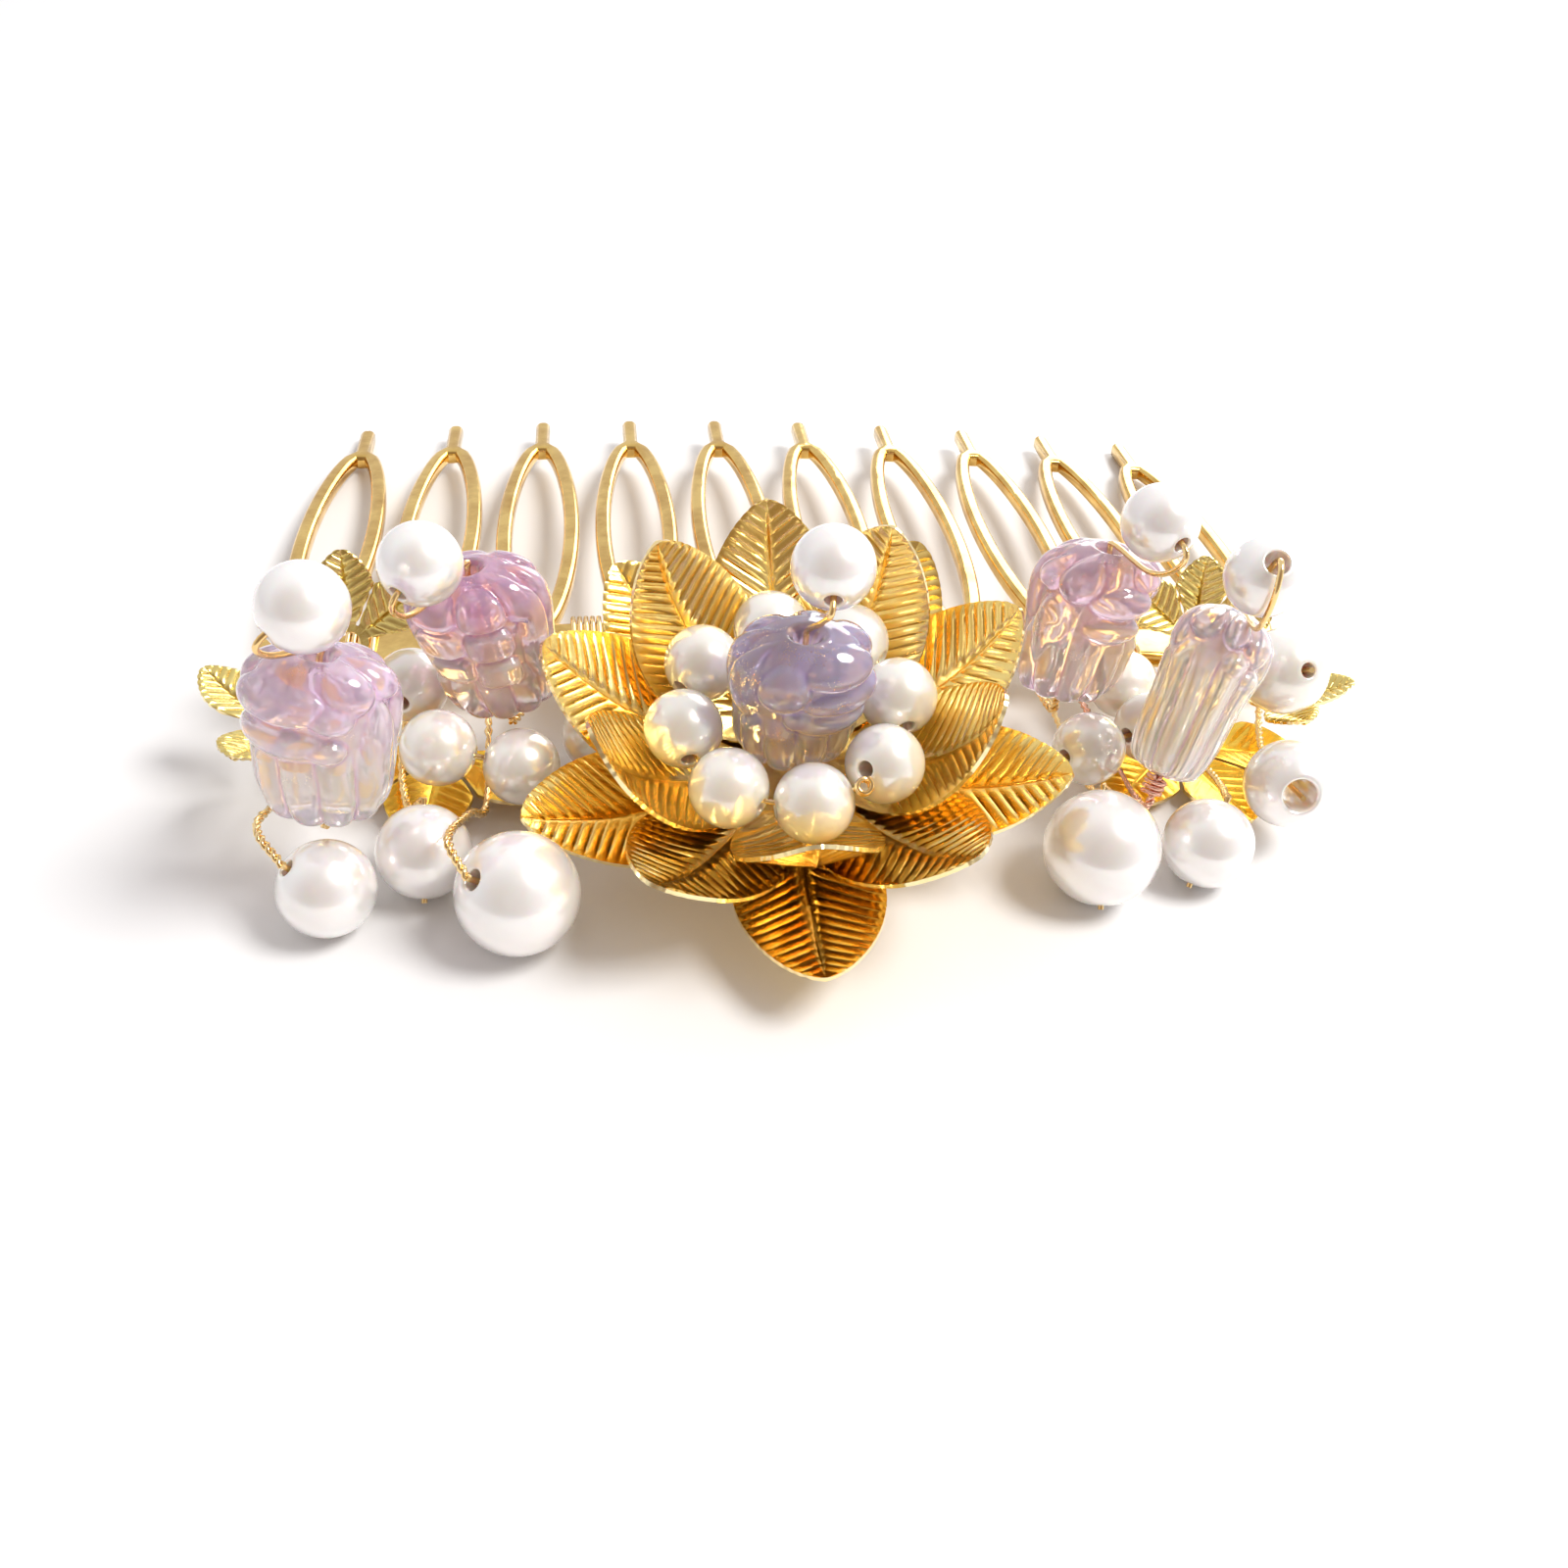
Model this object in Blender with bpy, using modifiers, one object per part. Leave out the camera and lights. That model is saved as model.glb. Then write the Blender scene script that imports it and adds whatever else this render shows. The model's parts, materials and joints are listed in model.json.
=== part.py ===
"""Decorative hair comb: a looped metal comb dressed with a three-tier metal flower,
glass bud beads, pearl beads and veined leaves, all held on wires bound to its spine.

Axes: +X runs along the spine, +Y from the spine to the tooth tips, +Z is up.
Sizes and places are millimetres from the middle of the spine; MM turns them into metres.
"""
import math

import bmesh
import bpy
from mathutils import Euler, Matrix, Vector

MM = 0.001
GAP = 0.35                      # clearance that touching pieces keep

# The spine's middle in the finished part's frame (x, y), so that the part is centred on its origin.
SPINE_PLACE = (0.79, -3.47)

# Comb
TOOTH_COUNT = 10
TOOTH_PITCH = 8.0
TOOTH_TIP_Y = 39.6              # spine middle to tooth tip
NIB_LENGTH = 4.8                # solid nib at the tip of a tooth
LOOP_LENGTH = 33.6              # open loop between nib and spine
LOOP_HALF_WIDTH = 2.72          # leg centre line to tooth centre line, at the widest
LEG_WIDTH = 1.3
COMB_THICKNESS = 1.3
SPINE_WIDTH = 4.0
SPINE_HALF_LENGTH = 39.5
ARCH_RISE = 1.6                 # middle of the comb above its ends
COMB_SLOPE = math.radians(4.3)  # the spine stands higher than the tooth tips

# Flower
FLOWER_CENTRE = Vector((-2.8, -13.9, 4.4))
FLOWER_TILT = math.radians(16)  # the flower leans toward -Y
FLOWER_ROLL = math.radians(-5)  # and a little toward -X
PETAL_COUNT = 5
SHEET = 0.3                     # thickness of the stamped sheet
BLADE_ROOT_HALF_ANGLE = 30      # share of the hub's edge that a blade takes, each way (degrees)
BLADE_ROOT_MARGIN = 4           # and what it leaves free toward the next blade (degrees)
HUB_STEP = 24                   # longest step of the hub's edge between blades (degrees)
HUB_RADIUS = 3.0
HUB_HOLE_RADIUS = 0.75
TIER_STEP = 0.75                # from one tier's hub to the next
# name, angle of the first petal, petal length, petal width, slope at hub and at tip (degrees)
TIERS = (
    ("petal_tier_bottom", 270, 16.2, 8.8, 0, 38),
    ("petal_tier_middle", 234, 16.0, 8.8, 5, 59),
    ("petal_tier_top", 270, 15.2, 8.6, 6, 84),
)


def flower_point(x, y, z):
    """A point given in the flower's own tilted frame, in the comb's frame."""
    point = Vector((x, y, z))
    point.rotate(Euler((FLOWER_TILT, FLOWER_ROLL, 0)))
    return FLOWER_CENTRE + point


# Beads and wires
BORE_RADIUS = 0.68
WIRE_RADIUS = 0.25
WIRE_END = 0.7                  # straight wire left standing beyond a bead
WIRE_BEND = 0.6                 # length eased on each side of a corner
SMALL_PEARL = 5.0
MEDIUM_PEARL = 6.0
LARGE_PEARL = 7.6
RING_RADIUS = 6.9
RING_HEIGHT = 6.4               # ring of pearls above the bottom hub
RING_COUNT = 8
RING_FIRST_ANGLE = 5
HOOK_RADIUS = SMALL_PEARL / 2 + 1.2
HOOK_STEP = math.radians(60)    # largest bend of a hook at one corner
BUD_LENGTH = 11.6
BUD_FLATNESS = (1.2, 0.86)      # bud section across its wide and its narrow side

# Glass buds: name, foot of the bead, lean of its axis, direction of its wide side, pearl on top,
# side of the pearl that the wire enters, and the wire's way from under the bud to the spine.
BUDS = (
    ("left_outer", (-31.7, -20.0, 6.9), (0.09, -0.02, 0.99), (1, 0, 0), (-30.8, -21.6, 22.3), (-0.75, -0.55, -0.35),
     ((-31.9, -19.9, 5.6), (-32.4, -14.0, 4.6), (-31.6, -3.7, 3.8))),
    ("left_inner", (-21.4, -8.0, 5.8), (-0.175, -0.12, 0.977), (1, 0, 0), (-25.6, -13.6, 20.0), (-0.5, -0.8, -0.35),
     ((-21.1, -7.8, 3.9), (-19.4, -3.7, 4.2))),
    ("centre", flower_point(0, 0, 2.5), (-0.02, -0.27, 0.96), (1, 0, 0), (-2.0, -17.2, 22.2),
     (-0.1, -0.93, -0.35), (flower_point(0, 0, -1.8), (-2.3, -3.7, 3.6))),
    ("right_inner", (17.0, -7.6, 6.2), (0.115, 0.01, 0.993), (1, 0, 0), (19.9, -10.3, 21.3), (0.3, -0.9, -0.1),
     ((16.8, -7.6, 4.4), (16.2, -3.7, 4.3))),
    ("right_outer", (21.2, -17.6, 6.8), (0.354, 0.363, 0.862), (-0.42, -0.76, 0.49), (24.9, -15.9, 20.9), (-0.12, -0.6, 0.8),
     ((20.3, -18.5, 4.7), (20.5, -11.8, 3.2), (20.0, -3.7, 3.0))),
)

# Front pearls: diameter, centre, hole direction on the side its wire comes in,
# and the wire's way back to the spine.
FRONT_PEARLS = (
    (MEDIUM_PEARL, (-31.8, -22.9, 3.0), (-0.68, -0.12, 0.72),
     ((-35.8, -20.4, 5.9), (-35.4, -14.0, 3.4), (-33.8, -3.7, 3.6))),
    (MEDIUM_PEARL, (-26.3, -19.8, 3.0), (0.0, 0.68, 0.73),
     ((-27.6, -15.6, 3.0), (-28.6, -10.0, 2.2), (-28.4, -3.7, 3.6))),
    (LARGE_PEARL, (-20.4, -24.5, 3.8), (-0.68, -0.33, 0.66),
     ((-24.3, -23.5, 7.4), (-23.4, -19.0, 5.4), (-22.8, -14.0, 2.0), (-23.0, -3.7, 4.0))),
    (LARGE_PEARL, (16.8, -21.5, 3.8), (0.06, 0.7, 0.7),
     ((19.2, -17.0, 3.8), (18.6, -12.0, 1.6), (17.6, -3.7, 3.0))),
    (MEDIUM_PEARL, (24.6, -20.4, 3.0), (0.4, 0.52, 0.755),
     ((27.2, -14.6, 3.4), (27.2, -10.0, 2.6), (27.8, -3.7, 3.8))),
    (MEDIUM_PEARL, (31.0, -16.8, 5.0), (0.146, 0.915, -0.374), ((32.6, -9.0, 2.4), (34.2, -3.7, 3.4))),
)

# Pearls among the leaves: wire name, its pearls in stringing order (diameter, centre, hole
# direction) and the wire's way back to the spine.
CLUSTERS = (
    ("left_inner", ((SMALL_PEARL, (-15.4, -8.4, 3.0), (0.0, 1.0, 0.05)),), ()),
    ("left", ((SMALL_PEARL, (-20.4, -13.9, 4.9), (-5.3, 0.9, 0.9)),
              (SMALL_PEARL, (-25.7, -13.0, 5.8), (-5.3, 0.9, 0.9)),
              (SMALL_PEARL, (-27.8, -7.0, 6.4), (0.2, 1.0, -0.1))), ((-26.6, -3.7, 4.0),)),
    ("right", ((SMALL_PEARL, (17.8, -13.3, 5.4), (5.4, 3.0, -0.6)),
               (SMALL_PEARL, (23.2, -10.3, 4.8), (5.4, 3.0, -0.6)),
               (SMALL_PEARL, (22.9, -4.9, 4.6), (-1.0, 0.0, 0.0))), ()),
    ("right_outer", ((MEDIUM_PEARL, (31.5, -10.7, 10.0), (-0.1, 0.8, -0.6)),), ((30.2, -3.7, 3.8),)),
)

# Veined leaf sprays: name, root, direction in plan, rise, leaf count, angle between leaves (degrees).
SPRAYS = (
    ("leaf_spray_left_outer", (-36.2, -10.5, 6.0), 200, 6, 2, 110),
    ("leaf_spray_left_inner", (-32.0, -4.4, 8.0), 95, 48, 3, 55),
    ("leaf_spray_right_inner", (27.6, -4.4, 8.0), 80, 48, 3, 55),
    ("leaf_spray_right_outer", (32.6, -7.5, 5.4), -25, 14, 3, 58),
)
SPRAY_LEAF = (5.0, 3.6, 4, 30)  # length, width, slope at root and at tip (degrees)
# Larger leaves that lie under the pearls: name, root, direction in plan, leaf count, angle between.
BASE_LEAVES = (
    ("base_leaf_left", (-26.2, -7.2, 0.8), 265, 3, 60),
    ("base_leaf_right", (26.8, -7.2, 0.8), 288, 3, 60),
)
BASE_LEAF = (8.2, 5.6, 0, 4)
SPRAY_HUB_RADIUS = 1.3

# Wire bound round the spine between two teeth
BINDING_PLACES = (("left", -24.0), ("right", 32.0))
BINDING_TURNS = 4
BINDING_PITCH = 0.85
BINDING_STEPS = 10              # points to a turn


# ---------------------------------------------------------------- scene and materials

def clear_scene():
    for item in list(bpy.data.objects):
        bpy.data.objects.remove(item, do_unlink=True)


def new_collection(name):
    collection = bpy.data.collections.new(name)
    bpy.context.scene.collection.children.link(collection)
    return collection


def new_material(name, colour, metallic=0.0, roughness=0.3, transmission=0.0):
    material = bpy.data.materials.new(name)
    material.use_nodes = True
    shader = material.node_tree.nodes["Principled BSDF"]
    shader.inputs["Base Color"].default_value = (*colour, 1.0)
    shader.inputs["Metallic"].default_value = metallic
    shader.inputs["Roughness"].default_value = roughness
    shader.inputs["Transmission Weight"].default_value = transmission
    material.diffuse_color = (*colour, 1.0)
    return material


def add_node(name, data, colour, metallic=0.0, roughness=0.3, transmission=0.0, location=(0, 0, 0)):
    """A named sub-part with its own material, placed in the comb's frame."""
    node = bpy.data.objects.new(name, data)
    parts.objects.link(node)
    node.parent = comb_frame
    node.location = Vector(location) * MM
    data.materials.append(new_material(name, colour, metallic, roughness, transmission))
    return node


def aim(node, axis, wide):
    """Turn a node so that its +Z follows axis and its +X keeps close to wide."""
    z = Vector(axis).normalized()
    y = z.cross(Vector(wide)).normalized()
    node.rotation_euler = Matrix((y.cross(z), y, z)).transposed().to_euler()


GOLD = dict(colour=(0.86, 0.60, 0.20), metallic=1.0, roughness=0.28)
AMBER_GOLD = dict(colour=(0.78, 0.45, 0.08), metallic=1.0, roughness=0.32)
PEARL = dict(colour=(0.93, 0.90, 0.86), metallic=0.0, roughness=0.18)
LILAC_GLASS = dict(colour=(0.80, 0.62, 0.84), metallic=0.0, roughness=0.08, transmission=0.8)


# ---------------------------------------------------------------- comb

def arch(x):
    """Rise of the arch: straight between tooth centre lines, so each facet is flat."""
    last = TOOTH_PITCH * (TOOTH_COUNT - 1) / 2
    step = min(max((x + last) / TOOTH_PITCH, 0), TOOTH_COUNT - 1 - 1e-9)
    near = math.floor(step)
    heights = [ARCH_RISE * (1 - ((near + k) * TOOTH_PITCH - last) ** 2 / last ** 2) for k in (0, 1)]
    return heights[0] + (heights[1] - heights[0]) * (step - near)


def spine_height(x):
    """World height of the spine's middle plane at x."""
    return COMB_THICKNESS / 2 + arch(x) + TOOTH_TIP_Y * math.sin(COMB_SLOPE)


def leg_offset(share):
    """Leg centre line from the tooth centre line, at a share of the loop's length."""
    return LOOP_HALF_WIDTH * math.sqrt(max(math.sin(math.pi * share), 0))


def tooth_outline(centre):
    """Outer edge of one tooth, from its right foot over the nib to its left foot."""
    half_leg = LEG_WIDTH / 2
    right = [(half_leg + leg_offset(u), TOOTH_TIP_Y - NIB_LENGTH - u * LOOP_LENGTH)
             for u in (0.976, 0.9, 0.78, 0.62, 0.46, 0.3, 0.17, 0.08, 0.02, 0)]
    right += [(half_leg, TOOTH_TIP_Y - 0.4), (half_leg / 2, TOOTH_TIP_Y)]
    return [(centre + x, y) for x, y in right] + [(centre - x, y) for x, y in reversed(right)]


def loop_outline(centre):
    """Inner edge of one tooth's open loop."""
    half_leg = LEG_WIDTH / 2
    right = [(max(leg_offset(u) - half_leg, 0.1), TOOTH_TIP_Y - NIB_LENGTH - u * LOOP_LENGTH)
             for u in (0.94, 0.86, 0.74, 0.6, 0.44, 0.3, 0.17, 0.08, 0.035)]
    return [(centre + x, y) for x, y in right] + [(centre - x, y) for x, y in reversed(right)]


def add_closed_spline(curve, points):
    spline = curve.splines.new("POLY")
    spline.points.add(len(points) - 1)
    for point, place in zip(spline.points, points):
        point.co = (*place, 0.0, 1.0)
    spline.use_cyclic_u = True


def make_comb():
    centres = [TOOTH_PITCH * (k - (TOOTH_COUNT - 1) / 2) for k in range(TOOTH_COUNT)]
    edge = SPINE_WIDTH / 2
    outline = [(-SPINE_HALF_LENGTH, edge), (-SPINE_HALF_LENGTH, -edge)]
    outline += [(x, -edge) for x in centres]
    outline += [(SPINE_HALF_LENGTH, -edge), (SPINE_HALF_LENGTH, edge)]
    for centre in reversed(centres):
        outline += tooth_outline(centre)
    flat = bpy.data.curves.new("comb_outline", "CURVE")
    flat.dimensions = "2D"
    flat.fill_mode = "BOTH"
    flat.extrude = COMB_THICKNESS / 2
    add_closed_spline(flat, outline)
    for centre in centres:
        add_closed_spline(flat, loop_outline(centre))
    drawing = bpy.data.objects.new("comb_outline", flat)
    mesh = bpy.data.meshes.new_from_object(drawing)
    bpy.data.objects.remove(drawing)
    body = bmesh.new()
    body.from_mesh(mesh)
    bmesh.ops.remove_doubles(body, verts=body.verts, dist=0.0001)
    for centre in centres:
        everything = list(body.verts) + list(body.edges) + list(body.faces)
        bmesh.ops.bisect_plane(body, geom=everything, plane_co=(centre, 0, 0), plane_no=(1, 0, 0))
    for vert in body.verts:
        vert.co.z += arch(vert.co.x)
    bmesh.ops.scale(body, vec=(MM, MM, MM), verts=body.verts)
    bmesh.ops.recalc_face_normals(body, faces=body.faces)
    body.to_mesh(mesh)
    body.free()
    mesh.name = "comb"
    comb = add_node("comb", mesh, **GOLD)
    comb.rotation_euler.x = -COMB_SLOPE
    comb.location.z = (COMB_THICKNESS / 2 + TOOTH_TIP_Y * math.sin(COMB_SLOPE)) * MM


# ---------------------------------------------------------------- stamped leaves and petals

def leaf_section(share, length, slope_start, slope_end):
    """Run and rise of a leaf's midrib at a share of its length, and its slope there."""
    run = rise = 0.0
    steps = 24
    for k in range(steps):
        slope = slope_start + (slope_end - slope_start) * share * (k + 0.5) / steps
        run += math.cos(slope) * length * share / steps
        rise += math.sin(slope) * length * share / steps
    return run, rise, slope_start + (slope_end - slope_start) * share


def stamped_star(name, angles, hub_radius, leaf, rows=6, **look):
    """A hub washer with pointed leaves, stamped and bent up from one sheet."""
    length, width, slope_start, slope_end = leaf[0], leaf[1], math.radians(leaf[2]), math.radians(leaf[3])
    across = (-1, -0.5, 0, 0.5, 1)
    turned = sorted(math.radians(a) % math.tau for a in angles)
    steps_round = [after - here for here, after in zip(turned, turned[1:] + [turned[0] + math.tau])]
    root_half_angle = min(math.radians(BLADE_ROOT_HALF_ANGLE),
                          min(steps_round) / 2 - math.radians(BLADE_ROOT_MARGIN))
    room = math.tan(min(steps_round) / 2)   # half the width free for a blade, per radius
    fold = 0.09 * width
    sheet = bmesh.new()
    ring, blade_starts = [], []
    for here, round_to_next in zip(turned, steps_round):
        blade_starts.append(len(ring))
        ring += [here + s * root_half_angle for s in across]
        gap = round_to_next - 2 * root_half_angle
        extra = int(gap / math.radians(HUB_STEP))
        ring += [here + root_half_angle + gap * (k + 1) / (extra + 1) for k in range(extra)]
    inner = [sheet.verts.new((HUB_HOLE_RADIUS * math.cos(a), HUB_HOLE_RADIUS * math.sin(a), 0)) for a in ring]
    outer = [sheet.verts.new((hub_radius * math.cos(a), hub_radius * math.sin(a), 0)) for a in ring]
    for k in range(len(ring)):
        after = (k + 1) % len(ring)
        sheet.faces.new((inner[k], outer[k], outer[after], inner[after]))
    root_half = hub_radius * math.sin(root_half_angle)
    for start, angle in zip(blade_starts, turned):
        row = outer[start:start + len(across)]
        for step in range(1, rows + 1):
            share = step / (rows + 1)
            run, rise, slope = leaf_section(share, length, slope_start, slope_end)
            half = root_half * (1 - share) ** 2 + width / 2 * math.sin(math.pi * share ** 1.1) ** 0.62
            half = min(half, (hub_radius + run) * room - GAP / 2)
            new_row = []
            for s in across:
                lift = fold * abs(s) * math.sin(math.pi * share)
                radius = hub_radius + run - lift * math.sin(slope)
                place = Vector((radius, s * half, rise + lift * math.cos(slope)))
                place.rotate(Matrix.Rotation(angle, 3, "Z"))
                new_row.append(sheet.verts.new(place))
            for k in range(len(across) - 1):
                sheet.faces.new((row[k], new_row[k], new_row[k + 1], row[k + 1]))
            row = new_row
        run, rise, slope = leaf_section(1.0, length, slope_start, slope_end)
        tip = Vector((hub_radius + run, 0, rise))
        tip.rotate(Matrix.Rotation(angle, 3, "Z"))
        tip_vert = sheet.verts.new(tip)
        for k in range(len(across) - 1):
            sheet.faces.new((row[k], tip_vert, row[k + 1]))
    bmesh.ops.scale(sheet, vec=(MM, MM, MM), verts=sheet.verts)
    bmesh.ops.recalc_face_normals(sheet, faces=sheet.faces)
    mesh = bpy.data.meshes.new(name)
    sheet.to_mesh(mesh)
    sheet.free()
    node = add_node(name, mesh, **look)
    thicken = node.modifiers.new("sheet", "SOLIDIFY")
    thicken.thickness = SHEET * MM
    thicken.offset = 0
    return node


def make_flower():
    for level, (name, first, *leaf) in enumerate(TIERS):
        angles = [first + 360 * k / PETAL_COUNT for k in range(PETAL_COUNT)]
        tier = stamped_star(name, angles, HUB_RADIUS, leaf, **AMBER_GOLD)
        tier.location = flower_point(0, 0, level * TIER_STEP) * MM
        tier.rotation_euler = (FLOWER_TILT, FLOWER_ROLL, 0)


def make_leaf_sprays():
    for name, root, heading, rise, count, between in SPRAYS:
        angles = [between * (k - (count - 1) / 2) for k in range(count)]
        spray = stamped_star(name, angles, SPRAY_HUB_RADIUS, SPRAY_LEAF, rows=4, **GOLD)
        spray.location = Vector(root) * MM
        spray.rotation_euler = (0, -math.radians(rise), math.radians(heading))
    for name, root, heading, count, between in BASE_LEAVES:
        angles = [heading + between * (k - (count - 1) / 2) for k in range(count)]
        leaves = stamped_star(name, angles, SPRAY_HUB_RADIUS, BASE_LEAF, rows=4, **AMBER_GOLD)
        leaves.location = Vector(root) * MM


# ---------------------------------------------------------------- beads

def turned_bead(name, profile, steps, centre, axis, wide=(0, 0, 1), **look):
    """A drilled bead: a closed profile (radius, height) turned round its bore."""
    mesh = bpy.data.meshes.new(name)
    count = len(profile)
    mesh.from_pydata([(r * MM, 0, z * MM) for r, z in profile], [(k, (k + 1) % count) for k in range(count)], [])
    bead = add_node(name, mesh, location=centre, **look)
    aim(bead, axis, wide)
    turn = bead.modifiers.new("turn", "SCREW")
    turn.steps = turn.render_steps = steps
    turn.use_merge_vertices = True
    turn.merge_threshold = 0.000001
    turn.use_smooth_shade = True
    return bead


def pearl_profile(diameter, steps=6):
    radius = diameter / 2
    start = math.asin(BORE_RADIUS / radius)
    angles = [start + (math.pi - 2 * start) * k / steps for k in range(steps + 1)]
    return [(radius * math.sin(a), radius * math.cos(a)) for a in angles]


def bud_profile():
    """A pressed bud: bulging head on top, tapering fluted body, drilled through."""
    outline = ((1.2, 1.0), (2.5, 0.97), (3.4, 0.88), (3.65, 0.76), (3.55, 0.62),
               (3.3, 0.45), (3.15, 0.2), (2.6, 0.05), (1.6, 0.0))
    ends = ((BORE_RADIUS + 0.1, 0.96), (BORE_RADIUS + 0.1, 0.0))
    return [(r, share * BUD_LENGTH) for r, share in (ends[0], *outline, ends[1])]


def make_buds():
    for name, foot, lean, wide, pearl_centre, entry, way_back in BUDS:
        bud = turned_bead("glass_bud_" + name, bud_profile(), 14, foot, lean, wide, **LILAC_GLASS)
        bud.scale = (*BUD_FLATNESS, 1)
        turned_bead("top_pearl_" + name, pearl_profile(SMALL_PEARL), 12, pearl_centre, entry, **PEARL)
        above = Vector(foot) + Vector(lean).normalized() * (BUD_LENGTH + WIRE_END)
        wire_along("stalk_wire_" + name, [Vector(p) for p in reversed(way_back)] + [above]
                   + hook(above, Vector(pearl_centre), Vector(entry).normalized())
                   + through(pearl_centre, entry, SMALL_PEARL))


def make_ring():
    """Eight pearls on one wire round the centre bud, the wire straight inside each pearl."""
    wire_points = []
    for k in range(RING_COUNT):
        turn = Matrix.Rotation(math.radians(RING_FIRST_ANGLE + 360 * k / RING_COUNT), 3, "Z")
        place, along = turn @ Vector((RING_RADIUS, 0, RING_HEIGHT)), turn @ Vector((0, 1, 0))
        turned_bead(f"ring_pearl_{k + 1}", pearl_profile(SMALL_PEARL), 12, flower_point(*place),
                    flower_point(*along) - FLOWER_CENTRE, **PEARL)
        wire_points += [flower_point(*(place + along * side * SMALL_PEARL / 2)) for side in (-1, 1)]
    add_wire("ring_wire", wire_points, cyclic=True)


def hook(start, centre, entry):
    """Points that lead a wire round a top pearl, clear of it, to the hole it goes in by."""
    first = (start - centre).normalized()
    bends = int(first.angle(entry) / HOOK_STEP)
    return [centre + first.slerp(entry, (k + 1.3) / (bends + 1)) * HOOK_RADIUS for k in range(bends)]


def through(centre, entry, diameter):
    """The wire's straight stretch through a bead, from the side it comes in."""
    reach = Vector(entry).normalized() * (diameter / 2 + WIRE_END)
    return [Vector(centre) + reach, Vector(centre) - reach]


def make_front_pearls():
    for k, (diameter, centre, entry, way_back) in enumerate(FRONT_PEARLS):
        turned_bead(f"front_pearl_{k + 1}", pearl_profile(diameter), 12, centre, entry, **PEARL)
        way = [Vector(p) for p in reversed(way_back)] + through(centre, entry, diameter)
        wire_along(f"front_wire_{k + 1}", way)


def make_clusters():
    for name, pearls, way_back in CLUSTERS:
        way = []
        for k, (diameter, centre, along) in enumerate(pearls):
            turned_bead(f"cluster_pearl_{name}_{k + 1}", pearl_profile(diameter), 12, centre, along, **PEARL)
            first, last = reversed(through(centre, along, diameter))
            if way and (first - way[-1]).dot(last - first) < 0 < (way[-1] - way[-2]).dot(last - first):
                way[-1] = (way[-1] + first) / 2     # two pearls in line, too close for a stretch between
            else:
                way.append(first)
            way.append(last)
        wire_along("cluster_wire_" + name, way + [Vector(p) for p in way_back])


# ---------------------------------------------------------------- wires

def add_wire(name, places, cyclic=False):
    """A round wire straight from point to point (millimetres)."""
    curve = bpy.data.curves.new(name, "CURVE")
    curve.dimensions = "3D"
    curve.bevel_depth = WIRE_RADIUS * MM
    curve.bevel_resolution = 1
    curve.use_fill_caps = True
    spline = curve.splines.new("POLY")
    spline.points.add(len(places) - 1)
    for point, place in zip(spline.points, places):
        point.co = (*(place * MM), 1.0)
    spline.use_cyclic_u = cyclic
    add_node(name, curve, **GOLD)


def wire_along(name, places):
    """A wire whose corners are eased."""
    eased = [places[0]]
    for before, corner, after in zip(places, places[1:], places[2:]):
        for side in (before, after):
            cut = min(WIRE_BEND, (side - corner).length * 0.4)
            eased.append(corner + (side - corner).normalized() * cut)
    eased.append(places[-1])
    add_wire(name, eased)


def make_bindings():
    """Wire wound round the spine, clear of it by GAP at the spine's corners."""
    high = 1.45 * (COMB_THICKNESS / 2 + GAP + WIRE_RADIUS)
    wide = 1.2 * (SPINE_WIDTH / 2 + GAP + WIRE_RADIUS)
    for side, middle in BINDING_PLACES:
        places = []
        for k in range(BINDING_TURNS * BINDING_STEPS + 1):
            angle = math.tau * k / BINDING_STEPS
            x = middle + BINDING_PITCH * (k / BINDING_STEPS - BINDING_TURNS / 2)
            places.append(Vector((x, wide * math.cos(angle), spine_height(x) + high * math.sin(angle))))
        add_wire("binding_wire_" + side, places)


clear_scene()
parts = new_collection("hair_comb")
comb_frame = bpy.data.objects.new("comb_frame", None)
comb_frame.location = (SPINE_PLACE[0] * MM, SPINE_PLACE[1] * MM, 0)
parts.objects.link(comb_frame)
make_comb()
make_flower()
make_buds()
make_ring()
make_front_pearls()
make_clusters()
make_leaf_sprays()
make_bindings()
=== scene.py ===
import json
import math

import bmesh
import bpy
import numpy as np
from mathutils import Euler, Matrix, Vector, noise

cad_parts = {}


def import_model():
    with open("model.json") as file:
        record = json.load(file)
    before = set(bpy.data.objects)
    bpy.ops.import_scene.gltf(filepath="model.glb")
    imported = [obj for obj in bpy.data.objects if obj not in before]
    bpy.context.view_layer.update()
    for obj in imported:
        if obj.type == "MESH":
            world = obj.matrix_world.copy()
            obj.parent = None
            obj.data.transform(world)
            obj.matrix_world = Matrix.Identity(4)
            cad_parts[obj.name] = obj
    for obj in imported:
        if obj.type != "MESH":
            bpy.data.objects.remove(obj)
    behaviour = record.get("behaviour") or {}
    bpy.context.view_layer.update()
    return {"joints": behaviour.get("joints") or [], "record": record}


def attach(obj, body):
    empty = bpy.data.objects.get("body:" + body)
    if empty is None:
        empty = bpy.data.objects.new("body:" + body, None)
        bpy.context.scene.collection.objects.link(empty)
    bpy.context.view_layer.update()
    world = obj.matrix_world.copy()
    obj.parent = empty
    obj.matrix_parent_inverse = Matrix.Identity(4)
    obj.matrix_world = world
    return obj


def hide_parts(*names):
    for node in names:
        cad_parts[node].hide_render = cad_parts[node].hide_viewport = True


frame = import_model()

MM = 0.001
ROOT = "comb_and_trim"
record = frame["record"]

# ------------------------------------------------------------- places taken from the frame

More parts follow.
